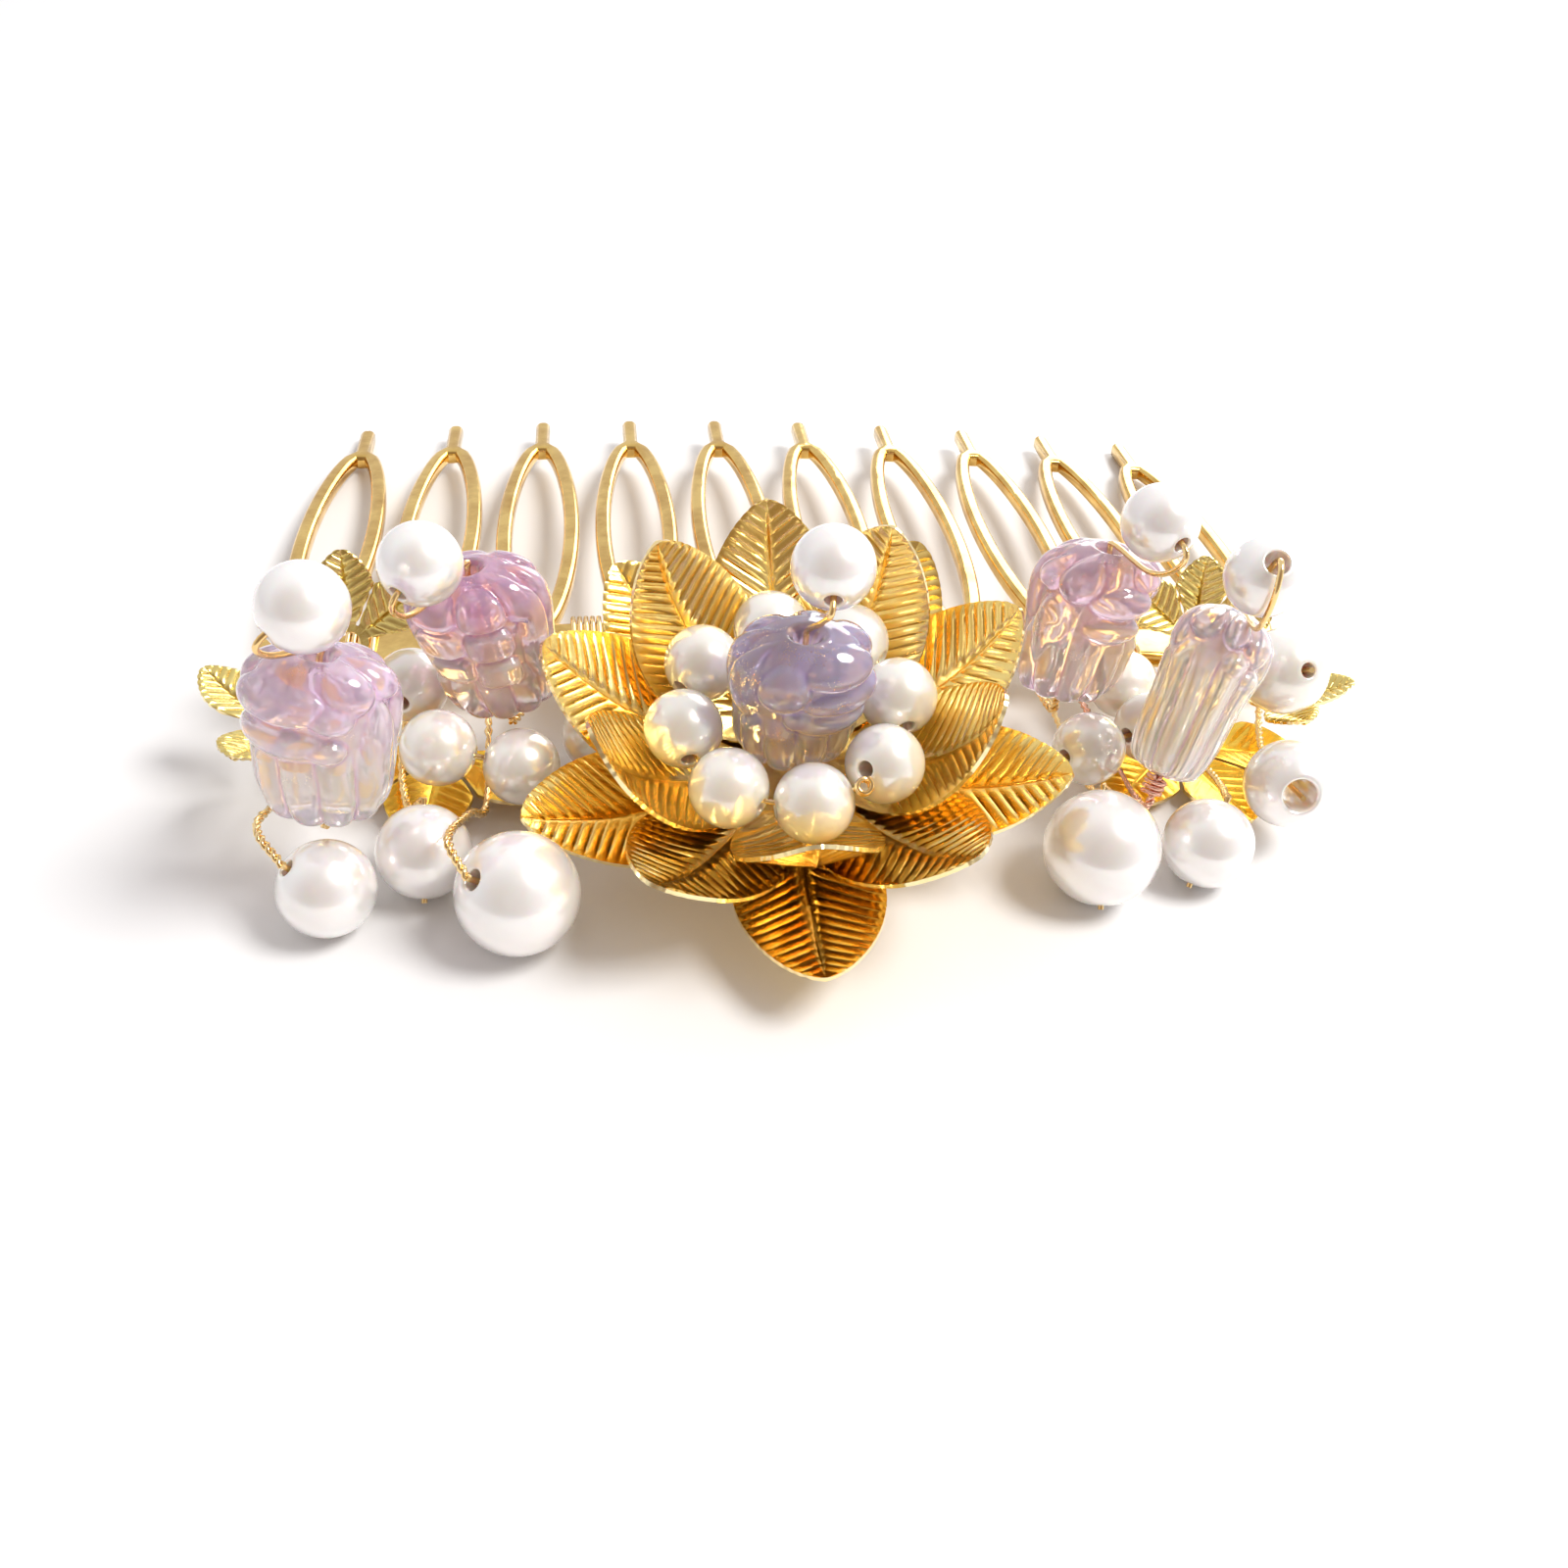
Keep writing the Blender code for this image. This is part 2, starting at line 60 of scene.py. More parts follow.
COMB_SLOPE = math.radians(4.3)
ARCH_RISE = 1.6
THICKNESS = 1.3
TIP_Y = 39.6
mounts = {m["name"]: m for m in record["mounts"]}
underside = Vector(mounts["spine_underside"]["pos_m"])
UNDERSIDE_Z = ARCH_RISE * (1 - (4 / 36) ** 2) - THICKNESS / 2
SPINE = Vector((underside.x, underside.y - UNDERSIDE_Z * math.sin(COMB_SLOPE) * MM, 0))
joint_of = {j["child"]: j for j in frame["joints"]}


def world(point):
    """A point in millimetres from the spine's middle, in the row frame in metres."""
    return SPINE + Vector(point) * MM


FLOWER_TURN = Euler((math.radians(16), math.radians(-5), 0))
FLOWER_CENTRE = Vector((-2.8, -13.9, 4.4))


def flower_point(x, y, z):
    point = Vector((x, y, z))
    point.rotate(FLOWER_TURN)
    return FLOWER_CENTRE + point


# ------------------------------------------------------------- material nodes

class Shade:
    """A material being built: its Principled shader and short ways to add nodes."""

    def __init__(self, name, **values):
        self.material = bpy.data.materials.new(name)
        self.material.use_nodes = True
        self.tree = self.material.node_tree
        self.shader = self.tree.nodes["Principled BSDF"]
        for key, value in values.items():
            self.shader.inputs[key.replace("_", " ")].default_value = value
        self.place = self.add("ShaderNodeTexCoord").outputs["Object"]

    def add(self, kind, links=None, **settings):
        node = self.tree.nodes.new(kind)
        for key, value in settings.items():
            if hasattr(node, key):
                setattr(node, key, value)
            else:
                node.inputs[key.replace("_", " ")].default_value = value
        for key, source in (links or {}).items():
            self.tree.links.new(source, node.inputs[key])
        return node

    def link(self, source, target):
        self.tree.links.new(source, self.shader.inputs[target])

    def noise(self, scale, detail=3.0, rough=0.5, place=None, distortion=0.0):
        node = self.add("ShaderNodeTexNoise", {"Vector": place or self.place},
                        Scale=scale, Detail=detail, Roughness=rough, Distortion=distortion)
        return node.outputs["Fac"]

    def ramp(self, source, *stops):
        node = self.add("ShaderNodeValToRGB", {"Fac": source})
        points = node.color_ramp.elements
        while len(points) < len(stops):
            points.new(0.5)
        for point, (position, colour) in zip(points, stops):
            point.position = position
            point.color = (*colour, 1)
        return node.outputs["Color"]

    def range(self, source, low, high, to_low, to_high):
        node = self.add("ShaderNodeMapRange", {"Value": source}, From_Min=low, From_Max=high,
                        To_Min=to_low, To_Max=to_high)
        return node.outputs["Result"]

    def mix(self, factor, first, second):
        node = self.add("ShaderNodeMix", data_type="RGBA")
        factor_input, first_input, second_input = (node.inputs[k] for k in (0, 6, 7))
        for value, socket in ((factor, factor_input), (first, first_input), (second, second_input)):
            if isinstance(value, (tuple, float, int)):
                socket.default_value = (*value, 1) if isinstance(value, tuple) else value
            else:
                self.tree.links.new(value, socket)
        return node.outputs[2]

    def bump(self, height, distance):
        node = self.add("ShaderNodeBump", {"Height": height}, Distance=distance, Strength=1.0)
        self.link(node.outputs["Normal"], "Normal")


def gold(name, bright, deep, rough, grain=0.000006):
    """Plated metal: tone and polish that wander, and a fine grain."""
    m = Shade(name, Metallic=1.0)
    cloud = m.noise(300, 4.0, 0.6)
    m.link(m.ramp(cloud, (0.3, deep), (0.62, bright)), "Base Color")
    m.link(m.range(m.noise(900, 3.0), 0.3, 0.7, *rough), "Roughness")
    m.bump(m.noise(3600, 2.0), grain)
    return m.material


def pearl_material(name, body, shade):
    """Pearl lacquer: a milky body with some mirror in it, under a clear coat, with faint clouds."""
    m = Shade(name, Metallic=0.35, Coat_Weight=1.0, Coat_Roughness=0.04, Coat_IOR=1.7,
              Subsurface_Weight=0.3, Subsurface_Scale=0.0015, Specular_IOR_Level=0.8)
    cloud = m.noise(260, 3.0, 0.5, distortion=0.8)
    m.link(m.ramp(cloud, (0.3, shade), (0.62, body)), "Base Color")
    m.link(m.range(m.noise(700, 2.0), 0.3, 0.7, 0.2, 0.27), "Roughness")
    m.bump(m.noise(900, 2.0), 0.000003)
    return m.material


# Painted shade: crevices take the head colour raised to this power, a deeper shade of it.
PAINTED_SHADE_DEPTH = 2.6
# Painted highlight: ridges are paled towards this near white.
PAINTED_RIDGE_HIGHLIGHT = (1.0, 0.97, 0.97)
GOLD_DUST = (1.0, 0.82, 0.50)


def glass_material(name, head, body, core, foot, change, spread, dusty):
    """Pressed glass, in the bead's own axes: head colour fading down the bead, a streaked core, painted
    shade darkening the crevices, painted highlights paling the ridges, and gold dust. change and spread are
    the height, in metres, where the head colour starts and how softly; a higher dusty leaves less dust."""
    m = Shade(name, Transmission_Weight=0.72, IOR=1.5, Coat_Weight=1.0, Coat_Roughness=0.01,
              Subsurface_Weight=0.25, Subsurface_Scale=0.003)
    split = m.add("ShaderNodeSeparateXYZ", {"Vector": m.place})
    wander = m.range(m.noise(330, 2.0), 0.3, 0.7, -0.0014, 0.0014)
    height = m.add("ShaderNodeMath", {0: split.outputs["Z"], 1: wander}, operation="ADD").outputs[0]
    low = m.mix(m.range(height, 0.0, 0.003, 0, 1), foot, body)
    stretched = m.add("ShaderNodeMapping", {"Vector": m.place}, Scale=(1.0, 1.0, 0.22)).outputs[0]
    streak = m.range(m.noise(520, 3.0, 0.6, stretched, 0.6), 0.45, 0.58, 0, 1)
    low = m.mix(streak, low, core)
    tone = m.mix(m.range(height, change - spread, change + spread, 0, 1), low, head)
    curve = m.add("ShaderNodeNewGeometry").outputs["Pointiness"]
    # Painted shade: where the surface curves in (low pointiness) the colour darkens towards the deeper head
    # colour.
    painted_crevice_shade = tuple(c ** PAINTED_SHADE_DEPTH for c in head)
    tone = m.mix(m.range(curve, 0.50, 0.42, 0, 0.75), tone, painted_crevice_shade)
    # Painted highlight: where the surface curves out (high pointiness) the colour pales towards near white.
    tone = m.mix(m.range(curve, 0.51, 0.58, 0, 0.7), tone, PAINTED_RIDGE_HIGHLIGHT)
    dust = m.add("ShaderNodeTexVoronoi", {"Vector": m.place}, Scale=7000.0)
    where = m.range(m.noise(420, 2.0), dusty, dusty + 0.1, 0, 1)
    fleck = m.range(dust.outputs["Distance"], 0.12, 0.28, 1, 0)
    fleck = m.add("ShaderNodeMath", {0: fleck, 1: where}, operation="MULTIPLY").outputs[0]
    m.link(m.mix(fleck, tone, GOLD_DUST), "Base Color")
    m.link(m.range(fleck, 0, 1, 0, 0.8), "Metallic")
    m.link(m.range(m.noise(700, 3.0), 0.3, 0.7, 0.02, 0.09), "Roughness")
    m.bump(m.noise(1100, 2.0), 0.000012)
    return m.material


PETAL = gold("petal_gold", (1.0, 0.76, 0.27), (0.97, 0.62, 0.15), (0.13, 0.24))
# Gold for the sheets' cut edges: its paler colour is a painted highlight along the edges, its lower
# roughness a smoother polish.
EDGE_HIGHLIGHT_GOLD = gold("painted_edge_highlight_gold", (1.0, 0.86, 0.50), (1.0, 0.76, 0.34), (0.08, 0.16))
LEAF = gold("leaf_gold", (0.92, 0.74, 0.28), (0.66, 0.48, 0.13), (0.16, 0.28))
PLATE = gold("plate_gold", (1.0, 0.66, 0.10), (0.92, 0.50, 0.04), (0.14, 0.26))
COMB = gold("comb_gold", (0.90, 0.62, 0.20), (0.62, 0.36, 0.09), (0.08, 0.17), 0.000002)
WIRE = gold("wire_gold", (1.0, 0.76, 0.38), (0.92, 0.60, 0.24), (0.10, 0.18))
COPPER = gold("rose_wire", (0.96, 0.58, 0.44), (0.86, 0.44, 0.32), (0.14, 0.24))
PEARL = pearl_material("pearl_white", (0.99, 0.975, 0.955), (0.97, 0.925, 0.90))
PEARL_CREAM = pearl_material("pearl_cream", (0.99, 0.96, 0.89), (0.97, 0.91, 0.82))
GLASS = {
    "left_outer": glass_material("glass_left_outer", (0.97, 0.72, 0.97), (1.0, 0.94, 0.97),
                                 (1.0, 0.95, 0.84), (0.98, 0.92, 0.98), 0.0072, 0.0034, 0.58),
    "left_inner": glass_material("glass_left_inner", (0.86, 0.48, 0.80), (1.0, 0.86, 0.88),
                                 (1.0, 0.92, 0.82), (0.98, 0.82, 0.90), 0.0082, 0.0036, 0.58),
    "centre": glass_material("glass_centre", (0.74, 0.66, 1.0), (0.90, 0.86, 1.0),
                             (1.0, 0.93, 0.76), (0.92, 0.88, 1.0), 0.0060, 0.0024, 0.50),
    "right_inner": glass_material("glass_right_inner", (0.98, 0.72, 0.90), (1.0, 0.89, 0.91),
                                  (1.0, 0.91, 0.82), (0.97, 0.83, 0.98), 0.0066, 0.003, 0.58),
    "right_outer": glass_material("glass_right_outer", (0.93, 0.78, 0.97), (1.0, 0.96, 0.96),
                                  (1.0, 0.92, 0.70), (1.0, 0.90, 0.95), 0.0090, 0.002, 0.58),
}

# ------------------------------------------------------------- pieces


def add_piece(name, mesh, body, stands_for, materials, matrix=None, sharp=None, own_axes=False):
    """A piece on a body. Its matrix goes into the mesh, unless its material needs its own axes."""
    piece = bpy.data.objects.new(name, mesh)
    bpy.context.scene.collection.objects.link(piece)
    for material in materials:
        mesh.materials.append(material)
    mesh.shade_smooth()
    if sharp:
        mesh.set_sharp_from_angle(angle=math.radians(sharp))
    if own_axes:
        piece.matrix_world = matrix
    elif matrix is not None:
        mesh.transform(matrix)
    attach(piece, body)
    if stands_for:
        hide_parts(*stands_for)
    return piece


def mesh_from(name, verts, faces):
    mesh = bpy.data.meshes.new(name)
    mesh.from_pydata([tuple(v) for v in verts], [], faces)
    mesh.validate()
    return mesh


def baked(piece):
    """The piece's mesh with its modifiers applied."""
    graph = bpy.context.evaluated_depsgraph_get()
    mesh = bpy.data.meshes.new_from_object(piece.evaluated_get(graph), depsgraph=graph)
    piece.modifiers.clear()
    piece.data = mesh
    return mesh


def bead_matrix(centre, axis, wide=(0, 0, 1)):
    """A bead's place: Z along its bore and X as near to the wide direction as it can be."""
    z = Vector(axis).normalized()
    y = z.cross(Vector(wide)).normalized()
    turn = Matrix((y.cross(z), y, z)).transposed().to_4x4()
    return Matrix.Translation(Vector(centre)) @ turn


def turned(name, profile, steps):
    """A closed ring of (radius, height) points in metres, turned round Z."""
    count = len(profile)
    verts = [(r * math.cos(a), r * math.sin(a), z) for a in (math.tau * k / steps for k in range(steps))
             for r, z in profile]
    faces = []
    for k in range(steps):
        here, there = k * count, (k + 1) % steps * count
        faces += [(here + j, there + j, there + (j + 1) % count, here + (j + 1) % count)
                  for j in range(count)]
    mesh = mesh_from(name, verts, faces)
    fix = bmesh.new()
    fix.from_mesh(mesh)
    bmesh.ops.recalc_face_normals(fix, faces=fix.faces)
    fix.to_mesh(mesh)
    fix.free()
    return mesh


# ------------------------------------------------------------- pearls

SMALL, MEDIUM, LARGE = 5.0, 6.0, 7.6
HOLE, LIP, WIDE_LIP = 0.5, 0.12, 0.22
FRONT_PEARLS = (MEDIUM, MEDIUM, LARGE, LARGE, MEDIUM, MEDIUM)
WIDE_HOLES = {3: 0.62, 6: 1.1}
RING_COUNT, RING_RADIUS, RING_HEIGHT, RING_START = 8, 6.9, 6.4, 5
LAST_RING_BORE = Vector((-0.62, -0.62, 0.35))
PEARL_STEPS, PEARL_ROWS = 56, 30


def pearl_mesh(name, diameter, hole, lip):
    """A drilled pearl whose hole has a rounded lip."""
    radius = diameter / 2
    start = math.asin((hole + lip) / radius)
    outer = [(radius * math.sin(a), radius * math.cos(a))
             for a in (start + (math.pi - 2 * start) * k / PEARL_ROWS for k in range(PEARL_ROWS + 1))]
    edge = radius * math.cos(start)
    curl = [(hole + lip * (1 - math.sin(t)), edge - lip * (1 - math.cos(t)) * 1.2)
            for t in (math.pi / 2 * k / 4 for k in range(1, 5))]
    profile = curl[::-1] + outer + [(r, -z) for r, z in curl]
    return turned(name, [(r * MM, z * MM) for r, z in profile], PEARL_STEPS)


def add_pearl(node, body, centre, axis, diameter, material=PEARL, hole=HOLE, lip=LIP):
    mesh = pearl_mesh(node + "_look", diameter, hole, lip)
    add_piece(node + "_look", mesh, body, [node], [material], bead_matrix(centre, axis))


SIDES = ("left_outer", "left_inner", "centre", "right_inner", "right_outer")
for side in SIDES:
    joint = joint_of["pearl_" + side]
    add_pearl("top_pearl_" + side, "pearl_" + side, joint["pos_m"], joint["axis"], SMALL,
              hole=0.75 if side == "right_outer" else HOLE)
for k, size in enumerate(FRONT_PEARLS, 1):
    joint = joint_of[f"pearl_front_{k}"]
    add_pearl(f"front_pearl_{k}", f"pearl_front_{k}", joint["pos_m"], joint["axis"], size,
              hole=WIDE_HOLES.get(k, HOLE), lip=WIDE_LIP if k in WIDE_HOLES else LIP)

ring = [flower_point(RING_RADIUS * math.cos(a), RING_RADIUS * math.sin(a), RING_HEIGHT)
        for a in (math.radians(RING_START + 360 / RING_COUNT * k) for k in range(RING_COUNT))]
for k, place in enumerate(ring):
    along = ring[(k + 1) % RING_COUNT] - ring[k - 1]
    if place is ring[-1]:
        along = LAST_RING_BORE
    add_pearl(f"ring_pearl_{k + 1}", ROOT, world(place), along, SMALL, PEARL_CREAM)

# For each wire of leaf pearls: name, pearls (diameter, centre, bore) and its way back to the spine.
CLUSTERS = (
    ("left_inner", ((SMALL, (-15.4, -8.4, 3.0), (0.0, 1.0, 0.05)),), ()),
    ("left", ((SMALL, (-20.4, -13.9, 4.9), (-5.3, 0.9, 0.9)),
              (SMALL, (-25.7, -13.0, 5.8), (-5.3, 0.9, 0.9)),
              (SMALL, (-27.8, -7.0, 6.4), (0.2, 1.0, -0.1))), ((-26.6, -3.7, 4.0),)),
    ("right", ((SMALL, (17.8, -13.3, 5.4), (5.4, 3.0, -0.6)),
               (SMALL, (23.2, -10.3, 4.8), (5.4, 3.0, -0.6)),
               (SMALL, (22.9, -4.9, 4.6), (-1.0, 0.0, 0.0))), ()),
    ("right_outer", ((MEDIUM, (31.5, -10.7, 10.0), (-0.1, 0.8, -0.6)),), ((30.2, -3.7, 3.8),)),
)
for name, pearls, _ in CLUSTERS:
    for k, (size, centre, along) in enumerate(pearls):
        add_pearl(f"cluster_pearl_{name}_{k + 1}", ROOT, world(centre), along, size, PEARL_CREAM)

# ------------------------------------------------------------- glass buds

BUD_LENGTH = 11.6
BUD_BORE = 0.55
BUD_FLAT = (1.2, 0.86)
BUD_OUTLINE = ((1.2, 1.0), (2.5, 0.97), (3.4, 0.88), (3.65, 0.76), (3.55, 0.62), (3.3, 0.45), (3.15, 0.2),
               (2.6, 0.05), (1.6, 0.0))
BUD_STEPS = 144
ROW_STEP = 0.14
INSET = 0.5
FLUTES, FLUTE_RISE = 10, 0.62
TURN_PER_BUD = 1.7
# The back of every bud: lobes that the front's own ones meet.
BACK = (
    (132, 9.2, 27, 2.0, 0.75), (134, 5.9, 24, 1.2, 0.6), (180, 8.4, 25, 2.9, 0.75),
    (228, 9.2, 27, 2.0, 0.75), (226, 5.9, 24, 1.2, 0.6),
)
# For each bud: direction of its wide side, turn of its front, how square its lobes are, top of its
# flutes, and its lobes: turn from the front (degrees), height, half width (degrees), half height,
# rise.
BUD_SHAPES = {
    "left_outer": ((1, 0, 0), 284, 2.0, 5.9, (
        (-52, 9.5, 56, 1.3, 0.85), (-56, 6.9, 56, 1.25, 0.85), (20, 10.7, 25, 1.7, 0.75),
        (0, 9.0, 19, 1.0, 0.98), (-6, 6.6, 18, 0.85, 0.95), (46, 5.0, 21, 4.5, 0.80),
        (90, 5.6, 23, 5.4, 0.75), (68, 10.4, 25, 1.2, 0.65))),
    "left_inner": ((1, 0, 0), 275, 3.2, 4.2, (
        (-46, 10.0, 25, 1.15, 0.80), (-46, 7.6, 25, 1.15, 0.88), (-44, 5.3, 24, 1.0, 0.82),
        (4, 9.9, 23, 1.25, 0.85), (4, 7.3, 23, 1.25, 0.80), (6, 4.8, 23, 1.05, 0.85),
        (44, 10.0, 15, 1.5, 0.70), (54, 5.9, 14, 5.0, 0.80), (86, 6.1, 18, 5.2, 0.75),
        (-92, 7.2, 20, 3.6, 0.7))),
    "centre": ((1, 0, 0), 260, 2.0, 5.4, (
        (52, 10.3, 44, 1.2, 0.85), (56, 8.0, 50, 1.22, 1.0), (50, 5.8, 48, 1.15, 0.95),
        (-12, 9.1, 25, 1.9, 0.85), (4, 6.3, 13, 0.9, 0.6), (-58, 8.2, 20, 3.3, 0.80),
        (-96, 7.0, 22, 4.6, 0.80))),
    "right_inner": ((1, 0, 0), 247, 2.0, 5.6, (
        (-54, 9.8, 17, 1.2, 0.75), (-14, 10.0, 24, 1.6, 0.85), (38, 8.9, 36, 1.15, 0.95),
        (40, 6.7, 34, 1.0, 0.90), (72, 10.6, 25, 1.0, 0.65), (-34, 5.6, 24, 2.9, 0.70),
        (-88, 7.4, 23, 3.9, 0.75))),
    "right_outer": ((-0.42, -0.76, 0.49), 0, 2.0, 8.2, (
        (-34, 10.4, 26, 1.2, 0.75), (14, 10.5, 19, 1.15, 0.75), (54, 9.9, 24, 1.4, 0.85),
        (28, 8.4, 17, 0.9, 0.70), (62, 7.6, 20, 0.9, 0.75), (-72, 9.4, 22, 2.0, 0.75),
        (96, 8.8, 20, 2.4, 0.75))),
}


def bud_rows():
    """Dense (radius, height) points down the bead's outside, from the top bore to the bottom one."""
    points = [np.array((r, share * BUD_LENGTH)) for r, share in BUD_OUTLINE]
    points = [np.array((BUD_BORE + 0.15, BUD_LENGTH - 0.35))] + points + [np.array((BUD_BORE + 0.15, 0.1))]
    rows = []
    for before, a, b, after in zip([points[0]] + points, points, points[1:], points[2:] + [points[-1]]):
        steps = max(int(np.linalg.norm(b - a) / ROW_STEP), 2)
        for k in range(steps):
            t = k / steps
            rows.append(0.5 * (2 * a + (b - before) * t + (2 * before - 5 * a + 4 * b - after) * t ** 2
                               + (3 * a - before - 3 * b + after) * t ** 3))
    return rows + [points[-1]]


def bud_mesh(name, front, square, flute_top, lobes, seed):
    """A pressed bud: rounded lobes crowded on the head, long flutes below."""
    rows = bud_rows()
    verts = []
    for r, z in rows:
        cap = np.clip((r - BUD_BORE - 0.3) / 1.0, 0, 1)
        for k in range(BUD_STEPS):
            angle = math.tau * k / BUD_STEPS
            rise = 0.0
            for turn, height, half_turn, half_height, top in lobes + BACK:
                away = abs((math.degrees(angle) - front - turn + 180) % 360 - 180) / half_turn
                near = 1 - away ** square - (abs(z - height) / half_height) ** square
                if near > 0:
                    rise = max(rise, top * near ** (1 / square))
            wave = abs(math.cos(FLUTES / 2 * angle + 0.08 * (z - 3) + seed))
            fade = np.clip((flute_top - z) / 1.3 + 0.5, 0, 1) * np.clip((z + 0.3) / 0.8, 0, 1)
            body = FLUTE_RISE * (wave ** 0.5) * fade
            out = max(r + cap * (max(rise, body) - INSET), BUD_BORE + 0.08)
            verts.append((out * math.cos(angle) * BUD_FLAT[0] * MM,
                          out * math.sin(angle) * BUD_FLAT[1] * MM, z * MM))
    for z in (0.25, BUD_LENGTH - 0.5):
        verts += [(BUD_BORE * math.cos(a) * MM, BUD_BORE * math.sin(a) * MM, z * MM)
                  for a in (math.tau * k / BUD_STEPS for k in range(BUD_STEPS))]
    faces = []
    count = len(rows)
    for j in list(range(count - 1)) + [count - 1, count]:
        for k in range(BUD_STEPS):
            n = (k + 1) % BUD_STEPS
            a, b = j * BUD_STEPS, (j + 1) * BUD_STEPS
            faces.append((a + k, b + k, b + n, a + n))
    last = (count + 1) * BUD_STEPS
    faces += [(last + k, k, (k + 1) % BUD_STEPS, last + (k + 1) % BUD_STEPS) for k in range(BUD_STEPS)]
    mesh = mesh_from(name, verts, faces)
    fix = bmesh.new()
    fix.from_mesh(mesh)
    bmesh.ops.smooth_vert(fix, verts=fix.verts, factor=0.35,
                          use_axis_x=True, use_axis_y=True, use_axis_z=True)
    bmesh.ops.recalc_face_normals(fix, faces=fix.faces)
    fix.to_mesh(mesh)
    fix.free()
    return mesh


for number, side in enumerate(SIDES):
    joint = joint_of["bud_" + side]
    name = "glass_bud_" + side
    wide, *shape = BUD_SHAPES[side]
    add_piece(name + "_look", bud_mesh(name + "_look", *shape, number * TURN_PER_BUD), "bud_" + side, [name],
              [GLASS[side]], bead_matrix(joint["pos_m"], joint["axis"], wide),
              own_axes=True)

# ------------------------------------------------------------- petals and leaves

ACROSS = (-1, -0.97, -0.9, -0.78, -0.63, -0.48, -0.33, -0.2, -0.1, -0.05, 0,
          0.05, 0.1, 0.2, 0.33, 0.48, 0.63, 0.78, 0.9, 0.97, 1)
ROOT_HALF_ANGLE, ROOT_MARGIN = 30, 4
HUB_HOLE = 0.75
BLADE_GAP = 0.35
SHEET = 0.26


def smooth(value):
    value = min(max(value, 0.0), 1.0)
    return value * value * (3 - 2 * value)


class Blade:
    """The outline and bend of one pointed leaf, in millimetres."""

    def __init__(self, length, width, slope_start, slope_end, hub, between):
        self.length, self.width, self.hub = length, width, hub
        self.start, self.end = math.radians(slope_start), math.radians(slope_end)
        self.root_angle = min(ROOT_HALF_ANGLE, between / 2 - ROOT_MARGIN)
        self.root_half = hub * math.sin(math.radians(self.root_angle))
        self.room = math.tan(math.radians(between / 2))

    def bent(self, x):
        """Slope, run and rise of the midrib at x."""
        share = min(max(x / self.length, 0.0), 1.0)
        bend = self.end - self.start
        slope = self.start + bend * share
        return (slope, (math.sin(slope) - math.sin(self.start)) / bend * self.length,
                (math.cos(self.start) - math.cos(slope)) / bend * self.length)

    def half(self, x):
        share = min(max(x / self.length, 0.0), 1.0)
        bow = max(math.sin(math.pi * share ** 1.1), 0.0) ** 0.62
        free = self.root_half * (1 - share) ** 2 + self.width / 2 * bow
        return min(free, (self.hub + self.bent(x)[1]) * self.room - BLADE_GAP / 2)

    def place(self, x, y, relief):
        share = min(max(x / self.length, 0.0), 1.0)
        slope, run, rise = self.bent(x)
        half = max(self.half(x), 1e-6)
        across = min(abs(y) / half, 1.0)
        lift = 0.09 * self.width * across ** 1.15 * math.sin(math.pi * share) + relief
        return Vector((self.hub + run - lift * math.sin(slope), y, rise + lift * math.cos(slope)))

    def edge(self, x, lean):
        """Where the vein that leaves the midrib at x meets the edge."""
        low, high = x, self.length
        for _ in range(24):
            middle = (low + high) / 2
            low, high = (middle, high) if middle < x + lean * self.half(middle) else (low, middle)
        return (low + high) / 2


